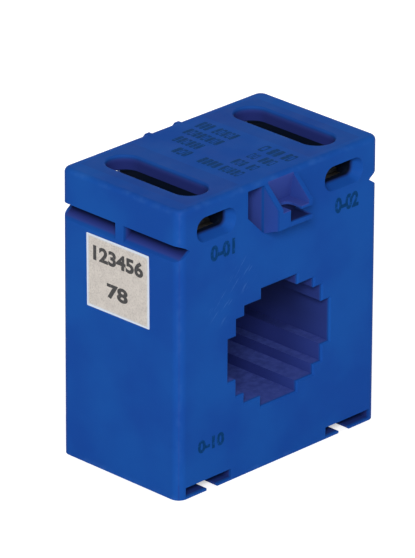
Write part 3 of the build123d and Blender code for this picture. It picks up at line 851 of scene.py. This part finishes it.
class CT_OT_terminals(bpy.types.Operator):
    """Plated terminal bars, clamp plates and screws, their plating darkened as painted shade, and the leads
    that reach them
    """

    bl_idname = "transformer.terminals"
    bl_label = "Terminals and leads"

    def execute(self, context):
        look = context.scene.transformer_metal
        build_drawn_metal()
        clamps = [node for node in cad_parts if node.startswith("clamp_")]
        # The plating colours are darkened as painted shade; the tarnish patches are real stain
        for name, colour, stretch, nodes in (
            ("Nickel_plating", look.nickel_with_painted_shade, BAR_STRETCH, ("terminal_bar_s1", "terminal_bar_s2")),
            ("Zinc_plating", look.zinc_with_painted_shade, SCREW_STRETCH, clamps),
        ):
            material, tree, shader, place = new_material(name)
            drawn = place_group(tree, "Drawn metal", {"Place": place, "Stretch": stretch})
            stain = product(tree, drawn["Tarnish"], TARNISH_STRENGTH)
            shade = blend_colours(tree, stain, tuple(colour), tuple(look.tarnish))
            paint(tree, shader, shade, spread(tree, drawn["Tarnish"], *METAL_ROUGHNESS))
            shader.inputs["Metallic"].default_value = 1.0
            bump(tree, shader, drawn["Height"], *METAL_BUMP)
            dress(nodes, material)

        material, tree, shader, place = new_material("Lead_sleeve")
        # Real dust on the sleeve, in pale patches
        dust_and_painted_light = patches(tree, place, *SLEEVE_DUST)
        colour = blend_colours(tree, dust_and_painted_light, from_srgb(*SLEEVE_RED), from_srgb(*SLEEVE_PALE))
        paint(tree, shader, colour, spread(tree, dust_and_painted_light, *SLEEVE_ROUGHNESS))
        dress(("lead_s1", "lead_s2"), material)
        return {"FINISHED"}


class CT_OT_coil(bpy.types.Operator):
    """Wound core, its end rings, the wire layer, its wrap and the foam rings, all inside the case"""

    bl_idname = "transformer.coil"
    bl_label = "Coil"

    def execute(self, context):
        look = context.scene.transformer_metal
        axis = (0.0, 0.0, WINDOW_AXIS_Z)

        material, tree, shader, place = new_material("Core_strip")
        parts = split(tree, vector_math(tree, "SUBTRACT", place, axis))
        across = add_node(tree, "ShaderNodeCombineXYZ", {"X": parts["X"], "Z": parts["Z"]}).outputs[0]
        radius = length(tree, across)
        layers = compute(tree, "SINE", product(tree, radius, 2 * math.pi / STRIP_THICKNESS))
        stain = patches(tree, place, *STRIP_STAINS)
        colour = blend_colours(tree, stain, tuple(look.core_steel), from_srgb(*STRIP_STAIN))
        paint(tree, shader, colour, ramp(tree, layers, -1.0, 1.0, *STRIP_ROUGHNESS))
        shader.inputs["Metallic"].default_value = 1.0
        bump(tree, shader, layers, *STRIP_BUMP)
        dress(("core",), material)

        material, tree, shader, place = new_material("Winding_wire")
        parts = split(tree, vector_math(tree, "SUBTRACT", place, axis))
        # Painted shade in the gaps between the turns of wire
        angle = compute(tree, "ARCTAN2", parts["X"], parts["Z"])
        turns = compute(tree, "ABSOLUTE", compute(tree, "SINE", product(tree, angle, WIRE_WAVES)))
        crown = product(tree, turns, WIRE_SHADE)
        colour = blend_colours(tree, crown, from_srgb(*WIRE_GAP_SHADE), tuple(look.copper))
        paint(tree, shader, colour, spread(tree, turns, *WIRE_ROUGHNESS))
        shader.inputs["Metallic"].default_value = WIRE_METALLIC
        shader.inputs["Coat Weight"].default_value = WIRE_COAT
        bump(tree, shader, turns, *WIRE_BUMP)
        dress(("secondary_winding",), material)

        for name, nodes, colour, other, scale, rough in INNER_FINISHES:
            material, tree, shader, place = new_material(name)
            mottle = patches(tree, place, scale, *MOTTLE)
            shade = blend_colours(tree, mottle, from_srgb(*colour), from_srgb(*other))
            limits = (rough - MOTTLE_ROUGHNESS, rough + MOTTLE_ROUGHNESS)
            paint(tree, shader, shade, spread(tree, mottle, *limits))
            bump(tree, shader, mottle, *INNER_BUMP)
            dress(nodes, material)
        return {"FINISHED"}


class CT_OT_stage(bpy.types.Operator):
    """Pale floor, soft lamps and the camera at the photograph's viewing angle"""

    bl_idname = "transformer.stage"
    bl_label = "Stage"

    def seen(self, tree):
        """1 where the camera, a reflection or a clear body looks, and 0 for light on the part."""
        path = tree.nodes.new("ShaderNodeLightPath").outputs
        return largest(tree, path["Is Camera Ray"], path["Is Glossy Ray"], path["Is Transmission Ray"])

    def add_floor(self, look):
        deselect_all()
        bpy.ops.mesh.primitive_plane_add(size=FLOOR_SIDE, location=(0, 0, -FLOOR_DROP))
        floor = bpy.context.object
        floor.name = "studio_floor"
        material, tree, shader, place = new_material("Studio_floor")
        shader.inputs["Base Color"].default_value = tuple(look.floor)
        shader.inputs["Roughness"].default_value = FLOOR_ROUGHNESS
        shader.inputs["Specular IOR Level"].default_value = FLOOR_SPECULAR
        strength = product(tree, self.seen(tree), FLOOR_GLOW)
        glow = add_node(tree, "ShaderNodeEmission", {"Color": WHITE, "Strength": strength})
        both = add_node(tree, "ShaderNodeAddShader", {0: shader.outputs[0], 1: glow.outputs[0]})
        tree.links.new(both.outputs[0], tree.nodes["Material Output"].inputs["Surface"])
        floor.data.materials.append(material)

    def add_surround(self, context, look):
        world = bpy.data.worlds.new("Studio")
        context.scene.world = world
        world.use_nodes = True
        tree = world.node_tree
        inputs = {"Value": self.seen(tree), "To Min": look.surround, "To Max": 1.0}
        strength = add_node(tree, "ShaderNodeMapRange", inputs).outputs["Result"]
        tree.links.new(strength, tree.nodes["Background"].inputs["Strength"])
        tree.nodes["Background"].inputs["Color"].default_value = WHITE

    def add_lamps(self, context, look):
        for name, spot, size, power, glossy in LAMPS:
            lamp = bpy.data.lights.new(name, "AREA")
            lamp.size = size
            lamp.energy = getattr(look, power)
            holder = bpy.data.objects.new(name, lamp)
            holder.location = spot
            holder.visible_glossy = glossy
            holder.rotation_euler = (AIM - Vector(spot)).to_track_quat("-Z", "Y").to_euler()
            context.collection.objects.link(holder)

    def add_camera(self, context):
        camera = bpy.data.cameras.new("photo_camera")
        camera.sensor_fit = "VERTICAL"
        camera.sensor_height = SENSOR_HEIGHT
        camera.lens = FOCAL_PIXELS * SENSOR_HEIGHT / PHOTO_HEIGHT
        camera.clip_start, camera.clip_end = CAMERA_CLIP
        back = Vector((
            math.sin(CAMERA_AZIMUTH) * math.cos(CAMERA_ELEVATION),
            -math.cos(CAMERA_AZIMUTH) * math.cos(CAMERA_ELEVATION),
            math.sin(CAMERA_ELEVATION),
        ))
        level = Vector((math.cos(CAMERA_AZIMUTH), math.sin(CAMERA_AZIMUTH), 0.0))
        upright = back.cross(level)
        right = math.cos(CAMERA_ROLL) * level + math.sin(CAMERA_ROLL) * upright
        up = math.cos(CAMERA_ROLL) * upright - math.sin(CAMERA_ROLL) * level
        holder = bpy.data.objects.new("photo_camera", camera)
        turn = Matrix((right, up, back)).transposed().to_4x4()
        holder.matrix_world = Matrix.Translation(CAMERA_PLACE) @ turn
        context.collection.objects.link(holder)
        context.scene.camera = holder

    def execute(self, context):
        look = context.scene.transformer_stage
        self.add_floor(look)
        self.add_surround(context, look)
        self.add_lamps(context, look)
        self.add_camera(context)
        context.scene.view_settings.view_transform = "Standard"
        return {"FINISHED"}


class CT_PT_looks(bpy.types.Panel):
    """Lists the steps that finish the transformer"""

    bl_label = "Window current transformer"
    bl_idname = "CT_PT_looks"
    bl_space_type = "VIEW_3D"
    bl_region_type = "UI"
    bl_category = "Transformer"

    def draw(self, context):
        for operator in OPERATORS:
            self.layout.operator(operator.bl_idname)
        for name, group in LOOKS.items():
            box = self.layout.box()
            for key in group.__annotations__:
                box.prop(getattr(context.scene, name), key)


OPERATORS = (CT_OT_stage, CT_OT_case, CT_OT_label, CT_OT_print, CT_OT_terminals, CT_OT_coil)
LOOKS = {
    "transformer_case": CaseLook,
    "transformer_label": LabelLook,
    "transformer_print": PrintLook,
    "transformer_metal": MetalLook,
    "transformer_stage": StageLook,
}


def register():
    for group in LOOKS.values():
        bpy.utils.register_class(group)
    for name, group in LOOKS.items():
        setattr(bpy.types.Scene, name, PointerProperty(type=group))
    for operator in OPERATORS:
        bpy.utils.register_class(operator)
    bpy.utils.register_class(CT_PT_looks)


def unregister():
    bpy.utils.unregister_class(CT_PT_looks)
    for operator in reversed(OPERATORS):
        bpy.utils.unregister_class(operator)
    for name, group in LOOKS.items():
        delattr(bpy.types.Scene, name)
        bpy.utils.unregister_class(group)


def main():
    register()
    bpy.ops.transformer.stage()
    bpy.ops.transformer.case()
    bpy.ops.transformer.label()
    bpy.ops.transformer.print()
    bpy.ops.transformer.terminals()
    bpy.ops.transformer.coil()


if __name__ == "__main__":
    main()
